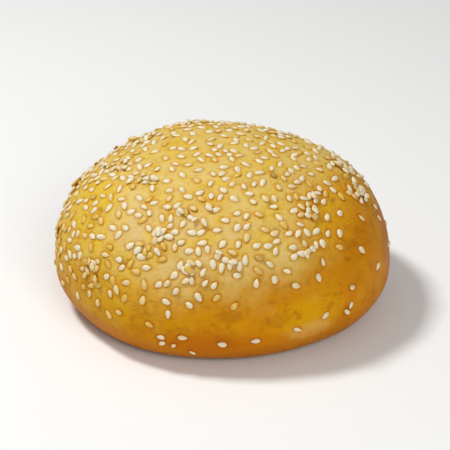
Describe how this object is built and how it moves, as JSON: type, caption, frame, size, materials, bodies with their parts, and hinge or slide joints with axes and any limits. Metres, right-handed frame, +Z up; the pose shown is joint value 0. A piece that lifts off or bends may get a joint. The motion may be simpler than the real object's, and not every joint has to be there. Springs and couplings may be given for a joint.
{
  "type": "sesame bread bun",
  "caption": "Round baked bread bun with a domed golden crust, sesame seeds over its crown and a flat foot to rest on.",
  "frame": {"origin": "on the flat foot that the bun rests on, straight under the crown", "axes": "+Z up out of the crown, -Y towards the pictured side, +X to the right in that view and along the bun's longest side"},
  "size_m": [0.1164, 0.1087, 0.0579],
  "materials": {
    "crust": "satin baked crust with a drier, paler crown",
    "sesame": "satin seed husk"
  },
  "bodies": {
    "root": {"sesame_bun": "crust"}
  },
  "joints": []
}
